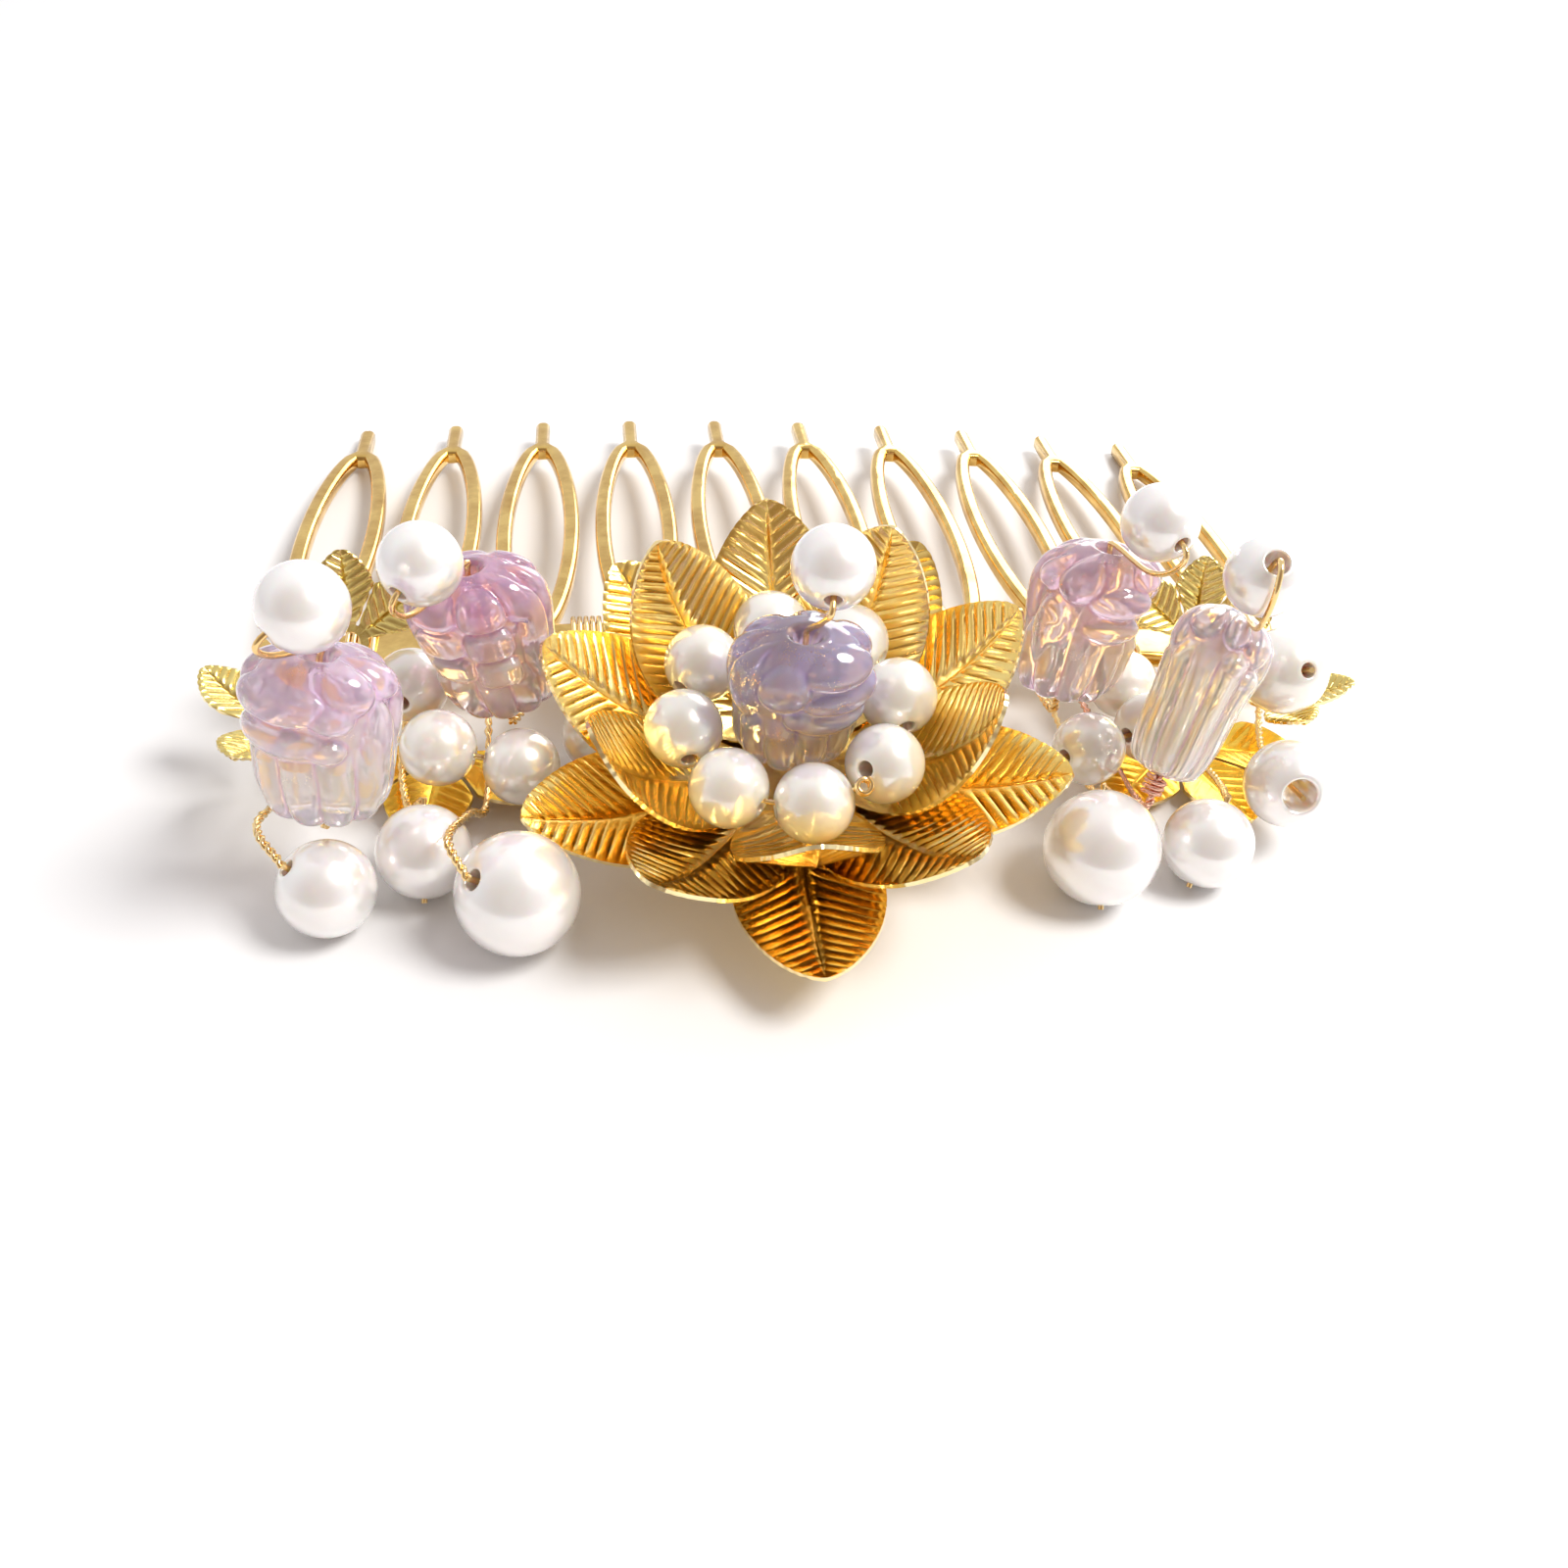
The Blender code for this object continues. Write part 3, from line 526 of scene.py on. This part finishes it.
def star_mesh(name, angles, blade, veins, relief, lean=0.75, seed=0.0, per_vein=7):
    """A hub washer with ribbed leaves: rows of the grid follow the veins."""
    spread = [blade.root_angle * u for u in ACROSS]
    ring, first_of = [], []
    ordered = sorted(a % 360 for a in angles)
    for number, angle in enumerate(ordered):
        first_of.append(len(ring))
        ring += [math.radians(angle + s) for s in spread]
        after = ordered[(number + 1) % len(ordered)] + (360 if number + 1 == len(ordered) else 0)
        gap = after - angle - 2 * spread[-1]
        extra = max(int(gap / 10), 0)
        ring += [math.radians(angle + spread[-1] + gap * (k + 1) / (extra + 1)) for k in range(extra)]
    verts = [Vector((HUB_HOLE * math.cos(a), HUB_HOLE * math.sin(a), 0)) for a in ring]
    verts += [Vector((blade.hub * math.cos(a), blade.hub * math.sin(a), 0)) for a in ring]
    count = len(ring)
    faces = [(k, count + k, count + (k + 1) % count, (k + 1) % count) for k in range(count)]
    rows = veins * per_vein
    for number, angle in enumerate(ordered):
        turn = Matrix.Rotation(math.radians(angle), 3, "Z")
        row = [count + first_of[number] + k for k in range(len(ACROSS))]
        for step in range(1, rows):
            x = blade.length * step / rows
            lean_here = lean * smooth(x / blade.length / 0.15)
            edge = blade.edge(x, lean_here)
            ridge = abs(math.sin(math.pi * step / per_vein)) ** 0.8
            fade = smooth(x / blade.length / 0.1) * smooth((1 - x / blade.length) / 0.12)
            new_row = []
            for u in ACROSS:
                reach = abs(u)
                at = x + reach * (edge - x)
                y = u * blade.half(edge)
                wear = 0.75 + 0.5 * noise.noise(Vector((at * 0.9, y * 0.9, seed + number * 3.1)))
                rib = (relief * ridge * wear * fade
                       * smooth((reach - 0.04) / 0.12) * smooth((1 - reach) / 0.08))
                midrib = -0.9 * relief * (1 - smooth(reach / 0.09)) * fade
                ripple = 0.10 * noise.noise(Vector((at * 0.22 + seed, y * 0.3, number * 5.3)))
                place = turn @ blade.place(at, y, rib + midrib + ripple * smooth(x / blade.length / 0.2))
                new_row.append(len(verts))
                verts.append(place)
            faces += [(row[k], new_row[k], new_row[k + 1], row[k + 1]) for k in range(len(ACROSS) - 1)]
            row = new_row
        tip = len(verts)
        verts.append(turn @ blade.place(blade.length, 0, 0))
        faces += [(row[k], tip, row[k + 1]) for k in range(len(ACROSS) - 1)]
    return mesh_from(name, [v * MM for v in verts], faces)


def add_star(node, mesh, matrix, face, rim):
    piece = add_piece(node + "_look", mesh, ROOT, [node], [face, rim], matrix)
    thick = piece.modifiers.new("sheet", "SOLIDIFY")
    thick.thickness = SHEET * MM
    thick.offset = 0
    # The rim faces take the second material, the painted edge highlight.
    thick.material_offset_rim = 1
    bpy.context.view_layer.update()
    baked(piece).set_sharp_from_angle(angle=math.radians(50))


# For each tier: name, direction of its first petal, then length, width, slope at the root and at the tip.
TIER_STEP, PETALS = 0.75, 5
TIERS = (
    ("petal_tier_bottom", 270, 16.2, 8.8, 0, 38),
    ("petal_tier_middle", 234, 16.0, 8.8, 5, 59),
    ("petal_tier_top", 270, 15.2, 8.6, 6, 84),
)
for level, (name, first, *size) in enumerate(TIERS):
    middle = world(flower_point(0, 0, level * TIER_STEP))
    matrix = Matrix.Translation(middle) @ FLOWER_TURN.to_matrix().to_4x4()
    mesh = star_mesh(name + "_look", [first + 360 / PETALS * k for k in range(PETALS)],
                     Blade(*size, 3.0, 360 / PETALS), 18, 0.115, seed=level * 7.0)
    add_star(name, mesh, matrix, PETAL, EDGE_HIGHLIGHT_GOLD)

# Small leaves: name, root, heading, rise, how many and the angle between them.
SPRAYS = (
    ("leaf_spray_left_outer", (-36.2, -10.5, 6.0), 200, 6, 2, 110),
    ("leaf_spray_left_inner", (-32.0, -4.4, 8.0), 95, 48, 3, 55),
    ("leaf_spray_right_inner", (27.6, -4.4, 8.0), 80, 48, 3, 55),
    ("leaf_spray_right_outer", (32.6, -7.5, 5.4), -25, 14, 3, 58),
)
for number, (name, root, heading, rise, count, between) in enumerate(SPRAYS):
    turn = Euler((0, -math.radians(rise), math.radians(heading))).to_matrix().to_4x4()
    mesh = star_mesh(name + "_look", [between * (k - (count - 1) / 2) for k in range(count)],
                     Blade(5.0, 3.6, 4, 30, 1.3, between), 8, 0.17, lean=0.6, seed=30 + number)
    add_star(name, mesh, Matrix.Translation(world(root)) @ turn, LEAF, EDGE_HIGHLIGHT_GOLD)

BASE_LEAVES = (
    ("base_leaf_left", (-26.2, -7.2, 0.8), 265, 3, 60),
    ("base_leaf_right", (26.8, -7.2, 0.8), 288, 3, 60),
)
for number, (name, root, heading, count, between) in enumerate(BASE_LEAVES):
    mesh = star_mesh(name + "_look", [heading + between * (k - (count - 1) / 2) for k in range(count)],
                     Blade(8.2, 5.6, 0.001, 4, 1.3, between), 9, 0.05, seed=50 + number)
    add_star(name, mesh, Matrix.Translation(world(root)), PLATE, EDGE_HIGHLIGHT_GOLD)

# ------------------------------------------------------------- comb

PITCH, TEETH = 8.0, 10
NIB, LOOP, LOOP_HALF, LEG = 4.8, 33.6, 2.72, 1.3
SPINE_HALF, SPINE_EDGE = 39.5, 2.0
ROUND, CORNER = 0.42, 0.5


def leg_offset(share):
    """Half the loop's width, at a share of its length."""
    return LOOP_HALF * math.sqrt(max(math.sin(math.pi * share), 0))


def arch(x):
    """Height of the arched spine at x: straight from tooth to tooth."""
    last = PITCH * (TEETH - 1) / 2
    step = min(max((x + last) / PITCH, 0), TEETH - 1 - 1e-9)
    near = math.floor(step)
    ends = [ARCH_RISE * (1 - ((near + k) * PITCH - last) ** 2 / last ** 2) for k in (0, 1)]
    return ends[0] + (ends[1] - ends[0]) * (step - near)


def comb_mesh():
    """The comb's flat outline with rounded edges, then arched along the spine."""
    centres = [PITCH * (k - (TEETH - 1) / 2) for k in range(TEETH)]
    shares = [0.976 - 0.976 * (k / 36) ** 1.25 for k in range(37)]
    outline = [(-SPINE_HALF + CORNER, SPINE_EDGE), (-SPINE_HALF, SPINE_EDGE - CORNER),
               (-SPINE_HALF, CORNER - SPINE_EDGE), (-SPINE_HALF + CORNER, -SPINE_EDGE),
               (SPINE_HALF - CORNER, -SPINE_EDGE), (SPINE_HALF, CORNER - SPINE_EDGE),
               (SPINE_HALF, SPINE_EDGE - CORNER), (SPINE_HALF - CORNER, SPINE_EDGE)]
    for centre in reversed(centres):
        right = [(LEG / 2 + leg_offset(u), TIP_Y - NIB - u * LOOP) for u in shares]
        right += [(LEG / 2, TIP_Y - 0.6), (LEG / 2 - 0.12, TIP_Y - 0.25), (LEG / 4, TIP_Y - 0.02)]
        outline += [(centre + x, y) for x, y in right] + [(centre - x, y) for x, y in reversed(right)]
    flat = bpy.data.curves.new("comb_outline", "CURVE")
    flat.dimensions, flat.fill_mode = "2D", "BOTH"
    flat.extrude = THICKNESS / 2 - ROUND
    flat.bevel_depth, flat.bevel_resolution, flat.offset = ROUND, 3, -ROUND
    loops = []
    for centre in centres:
        inner = [(max(leg_offset(share) - LEG / 2, 0.12), TIP_Y - NIB - share * LOOP)
                 for share in (0.94 - 0.9 * k / 30 for k in range(31))]
        loops.append([(centre + x, y) for x, y in inner] + [(centre - x, y) for x, y in reversed(inner)])
    for points in [outline] + loops:
        spline = flat.splines.new("POLY")
        spline.points.add(len(points) - 1)
        for point, (x, y) in zip(spline.points, points):
            point.co = (x, y, 0, 1)
        spline.use_cyclic_u = True
    drawing = bpy.data.objects.new("comb_outline", flat)
    mesh = bpy.data.meshes.new_from_object(drawing)
    bpy.data.objects.remove(drawing)
    body = bmesh.new()
    body.from_mesh(mesh)
    bmesh.ops.remove_doubles(body, verts=body.verts, dist=0.0005)
    for cut in [c + d for c in centres for d in (-2, 0, 2, 4)]:
        everything = list(body.verts) + list(body.edges) + list(body.faces)
        bmesh.ops.bisect_plane(body, geom=everything, plane_co=(cut, 0, 0), plane_no=(1, 0, 0))
    for vert in body.verts:
        vert.co.z += arch(vert.co.x)
    bmesh.ops.scale(body, vec=(MM, MM, MM), verts=body.verts)
    bmesh.ops.recalc_face_normals(body, faces=body.faces)
    body.to_mesh(mesh)
    body.free()
    mesh.name = "comb_look"
    return mesh


SPINE_HEIGHT = THICKNESS / 2 + TIP_Y * math.sin(COMB_SLOPE)
comb_place = Matrix.Translation(world((0, 0, SPINE_HEIGHT)))
add_piece("comb_look", comb_mesh(), ROOT, ["comb"], [COMB],
          comb_place @ Matrix.Rotation(-COMB_SLOPE, 4, "X"), sharp=35)

# ------------------------------------------------------------- wires

WIRE_RADIUS = 0.19
THIN_RADIUS = WIRE_RADIUS * 0.8
WIRE_SIDES = 10
HOOK_CLEARANCE = 0.75


def rounded(points, per=7, closed=False):
    """A smooth line through the points."""
    points = [Vector(p) for p in points]
    if closed:
        padded = [points[-1]] + points + points[:2]
    else:
        padded = [points[0] * 2 - points[1]] + points + [points[-1] * 2 - points[-2]]
    line = []
    for p0, p1, p2, p3 in zip(padded, padded[1:], padded[2:], padded[3:]):
        for k in range(per):
            t = k / per
            line.append(0.5 * (2 * p1 + (p2 - p0) * t + (2 * p0 - 5 * p1 + 4 * p2 - p3) * t * t
                               + (3 * p1 - p0 - 3 * p2 + p3) * t ** 3))
    return line if closed else line + [points[-1]]


def frames(line, closed=False):
    """Tangent and two side directions at each point, carried along without twisting."""
    count = len(line)
    tangents = []
    for k in range(count):
        after = line[(k + 1) % count] if closed or k + 1 < count else line[k]
        before = line[k - 1] if closed or k else line[k]
        tangents.append((after - before).normalized())
    side = tangents[0].orthogonal().normalized()
    made = []
    for tangent in tangents:
        side = (side - tangent * side.dot(tangent)).normalized()
        made.append((tangent, side, tangent.cross(side)))
    return made


def tube(verts, faces, line, radius, closed=False):
    """Adds a round wire along line, in millimetres, with flat caps on the ends of an open line."""
    start, count = len(verts), len(line)
    for place, (_, a, b) in zip(line, frames(line, closed)):
        verts += [place + (a * math.cos(t) + b * math.sin(t)) * radius
                  for t in (math.tau * k / WIRE_SIDES for k in range(WIRE_SIDES))]
    for j in range(count if closed else count - 1):
        here, there = start + j * WIRE_SIDES, start + (j + 1) % count * WIRE_SIDES
        faces += [(here + k, here + (k + 1) % WIRE_SIDES, there + (k + 1) % WIRE_SIDES, there + k)
                  for k in range(WIRE_SIDES)]
    if not closed:
        faces.append(tuple(reversed(range(start, start + WIRE_SIDES))))
        faces.append(tuple(range(start + (count - 1) * WIRE_SIDES, start + count * WIRE_SIDES)))


def twisted(verts, faces, line, radius, pitch=1.1):
    """Two wires wound round each other along line."""
    travelled, strands = 0.0, ([], [])
    for k, (place, (_, a, b)) in enumerate(zip(line, frames(line))):
        travelled += (line[k] - line[k - 1]).length if k else 0
        angle = math.tau * travelled / pitch
        for strand, flip in zip(strands, (0, math.pi)):
            strand.append(place + (a * math.cos(angle + flip) + b * math.sin(angle + flip)) * radius)
    for strand in strands:
        tube(verts, faces, strand, radius)


def add_wire(node, verts, faces, material=WIRE, stands_for=True):
    mesh = mesh_from(node + "_look", [(SPINE + v * MM) for v in verts], faces)
    add_piece(node + "_look", mesh, ROOT, [node] if stands_for else [], [material], sharp=60)


def local(point):
    return (Vector(point) - SPINE) / MM


def hook(start, centre, entry):
    """Points that bend a stalk round its top pearl, from start to where it enters the bore."""
    first = (start - centre).normalized()
    bends = int(first.angle(entry) / math.radians(60))
    reach = SMALL / 2 + HOOK_CLEARANCE
    return [centre + first.slerp(entry, (k + 1.3) / (bends + 1)) * reach for k in range(bends)]


WAYS_BACK = {
    "left_outer": ((-31.9, -19.9, 5.6), (-32.4, -14.0, 4.6), (-31.6, -3.7, 3.8)),
    "left_inner": ((-21.1, -7.8, 3.9), (-19.4, -3.7, 4.2)),
    "centre": (flower_point(0, 0, -1.8), (-2.3, -3.7, 3.6)),
    "right_inner": ((16.8, -7.6, 4.4), (16.2, -3.7, 4.3)),
    "right_outer": ((20.3, -18.5, 4.7), (20.5, -11.8, 3.2), (20.0, -3.7, 3.0)),
}
for side in SIDES:
    foot, lean = local(joint_of["bud_" + side]["pos_m"]), Vector(joint_of["bud_" + side]["axis"])
    centre, entry = local(joint_of["pearl_" + side]["pos_m"]), Vector(joint_of["pearl_" + side]["axis"])
    above = foot + lean * (BUD_LENGTH + 0.3)
    verts, faces = [], []
    up = [foot + lean * 1.0, foot + lean * 6.0, foot + lean * (BUD_LENGTH - 0.8), above]
    through = [centre + entry * 2.7, centre - entry * 2.3]
    tube(verts, faces, rounded(up + hook(above, centre, entry) + through), WIRE_RADIUS)
    down = [foot + lean * 1.0, foot - lean * 0.5] + [Vector(p) for p in WAYS_BACK[side]]
    if side == "right_outer":
        add_wire("stalk_wire_" + side, verts, faces)
        verts, faces = [], []
        around = frames([foot, foot - lean])[0]
        tube(verts, faces, [foot - lean * (0.35 + 0.34 * t / math.tau)
                            + (around[1] * math.cos(t) + around[2] * math.sin(t)) * 0.62
                            for t in (math.tau * k / 14 for k in range(45))], THIN_RADIUS)
    twisted(verts, faces, rounded(down, 14), THIN_RADIUS)
    if side == "right_outer":
        add_wire("stalk_twist_" + side, verts, faces, COPPER, stands_for=False)
    else:
        add_wire("stalk_wire_" + side, verts, faces)

FRONT_WAYS = (
    ((-35.8, -20.4, 5.9), (-35.4, -14.0, 3.4), (-33.8, -3.7, 3.6)),
    ((-27.6, -15.6, 3.0), (-28.6, -10.0, 2.2), (-28.4, -3.7, 3.6)),
    ((-24.3, -23.5, 7.4), (-23.4, -19.0, 5.4), (-22.8, -14.0, 2.0), (-23.0, -3.7, 4.0)),
    ((19.2, -17.0, 3.8), (18.6, -12.0, 1.6), (17.6, -3.7, 3.0)),
    ((27.2, -14.6, 3.4), (27.2, -10.0, 2.6), (27.8, -3.7, 3.8)),
    ((32.6, -9.0, 2.4), (34.2, -3.7, 3.4)),
)
for k, way in enumerate(FRONT_WAYS, 1):
    joint = joint_of[f"pearl_front_{k}"]
    centre, entry = local(joint["pos_m"]), Vector(joint["axis"])
    radius = FRONT_PEARLS[k - 1] / 2
    verts, faces = [], []
    through = [centre - entry * (radius + 0.2), centre, centre + entry * (radius + 0.3)]
    tube(verts, faces, rounded(through), WIRE_RADIUS)
    twisted(verts, faces, rounded([centre + entry * (radius + 0.2)] + [Vector(p) for p in way], 16),
            THIN_RADIUS)
    add_wire(f"front_wire_{k}", verts, faces)

for name, pearls, way in CLUSTERS:
    points = []
    for size, centre, along in pearls:
        reach = Vector(along).normalized() * (size / 2 + 0.3)
        points += [Vector(centre) - reach, Vector(centre) + reach]
    verts, faces = [], []
    tube(verts, faces, rounded(points + [Vector(p) for p in way]), WIRE_RADIUS)
    add_wire("cluster_wire_" + name, verts, faces)

verts, faces = [], []
tube(verts, faces, rounded(ring, 8, closed=True), WIRE_RADIUS * 0.9, closed=True)
curl_middle = (ring[6] + ring[7]) / 2 + Vector((0.5, -1.5, 0.9))
tube(verts, faces, [curl_middle + Vector((0.42 * math.cos(t), 0.3 * math.sin(t) - 0.12 * t / math.pi,
                                          0.34 * math.sin(t) + 0.05 * t))
                    for t in (math.tau * k / 16 for k in range(36))], THIN_RADIUS)
add_wire("ring_wire", verts, faces)


COIL_TURNS, COIL_PITCH = 5, 0.46
COIL_CLEARANCE, COIL_CORNER = 0.24, 1.28


def coil(middle, verts, faces):
    """Adds one binding coil round the spine."""
    steps = 16
    line = []
    across = SPINE_EDGE + COIL_CLEARANCE
    high = THICKNESS / 2 + COIL_CLEARANCE
    for k in range(COIL_TURNS * steps + 1):
        angle = math.tau * k / steps
        x = middle + COIL_PITCH * (k / steps - COIL_TURNS / 2)
        c, s = math.cos(angle), math.sin(angle)
        swell = min(1 / max(abs(c), abs(s)), COIL_CORNER)
        line.append(Vector((x, across * c * swell, arch(x) + SPINE_HEIGHT + high * s * swell)))
    tube(verts, faces, line, WIRE_RADIUS)


for side, middles in (("left", (-32, -24, -16, -8)), ("right", (0, 8, 16, 24, 32))):
    verts, faces = [], []
    for middle in middles:
        coil(middle, verts, faces)
    add_wire("binding_wire_" + side, verts, faces)

# ------------------------------------------------------------- stage, light and camera

FLOOR_HALF = 2
corners = [(x * FLOOR_HALF, y * FLOOR_HALF, 0) for x, y in ((-1, -1), (1, -1), (1, 1), (-1, 1))]
floor_mesh = mesh_from("floor", corners, [(0, 1, 2, 3)])
floor = bpy.data.objects.new("floor", floor_mesh)
bpy.context.scene.collection.objects.link(floor)
pale = Shade("pale_floor", Roughness=0.55, Specular_IOR_Level=0.25)
pale.link(pale.ramp(pale.noise(6.0), (0.3, (0.86, 0.86, 0.87)), (0.7, (0.88, 0.88, 0.885))), "Base Color")
floor_mesh.materials.append(pale.material)

CAMERA_AT = (-15.82, -88.36, 66.71)
FOCAL_LENGTH, IMAGE_WIDTH, SENSOR = 1499, 1600, 36
PITCH_DOWN, HEADING, ROLL = math.radians(40.1), math.radians(9.7), math.radians(5.52)
forward = Vector((math.sin(HEADING) * math.cos(PITCH_DOWN), math.cos(HEADING) * math.cos(PITCH_DOWN),
                  -math.sin(PITCH_DOWN)))
level = Vector((math.cos(HEADING), -math.sin(HEADING), 0))
upright = level.cross(forward)
right = level * math.cos(ROLL) + upright * math.sin(ROLL)
up = upright * math.cos(ROLL) - level * math.sin(ROLL)
camera = bpy.data.objects.new("camera", bpy.data.cameras.new("camera"))
bpy.context.scene.collection.objects.link(camera)
camera.data.lens = SENSOR * FOCAL_LENGTH / IMAGE_WIDTH
camera.data.clip_start = 0.005
turn = Matrix((right, up, -forward)).transposed().to_4x4()
camera.matrix_world = Matrix.Translation(world(CAMERA_AT)) @ turn
bpy.context.scene.camera = camera


def add_light(name, direction, distance, size, power, colour=(1, 1, 1)):
    lamp = bpy.data.lights.new(name, "AREA")
    lamp.shape, lamp.size, lamp.energy, lamp.color = "DISK", size, power, colour
    light = bpy.data.objects.new(name, lamp)
    bpy.context.scene.collection.objects.link(light)
    direction = Vector(direction).normalized()
    light.location = direction * distance
    light.rotation_euler = direction.to_track_quat("Z", "Y").to_euler()


add_light("window", (0.52, -0.16, 0.82), 0.6, 0.26, 3.0, (1.0, 0.985, 0.96))
add_light("back_window", (0.5, 0.9, 0.42), 0.8, 0.5, 2.4)

# A pale room, darker and warmer towards the side that the camera is on.
DARK_SIDE = Vector((-0.16, -0.80, 0.58)).normalized()
sky = bpy.data.worlds.new("studio")
sky.use_nodes = True
bpy.context.scene.world = sky
tree = sky.node_tree
toward = tree.nodes.new("ShaderNodeTexCoord")
facing = tree.nodes.new("ShaderNodeVectorMath")
facing.operation = "DOT_PRODUCT"
facing.inputs[1].default_value = DARK_SIDE
fall = tree.nodes.new("ShaderNodeValToRGB")
pale_end, dark_end = fall.color_ramp.elements
pale_end.position, pale_end.color = 0.40, (0.97, 0.97, 1.0, 1)
dark_end.position, dark_end.color = 0.92, (0.40, 0.31, 0.25, 1)
tree.links.new(toward.outputs["Generated"], facing.inputs[0])
tree.links.new(facing.outputs["Value"], fall.inputs["Fac"])
tree.links.new(fall.outputs["Color"], tree.nodes["Background"].inputs["Color"])
tree.nodes["Background"].inputs["Strength"].default_value = 0.82
bpy.context.scene.view_settings.view_transform = "Standard"
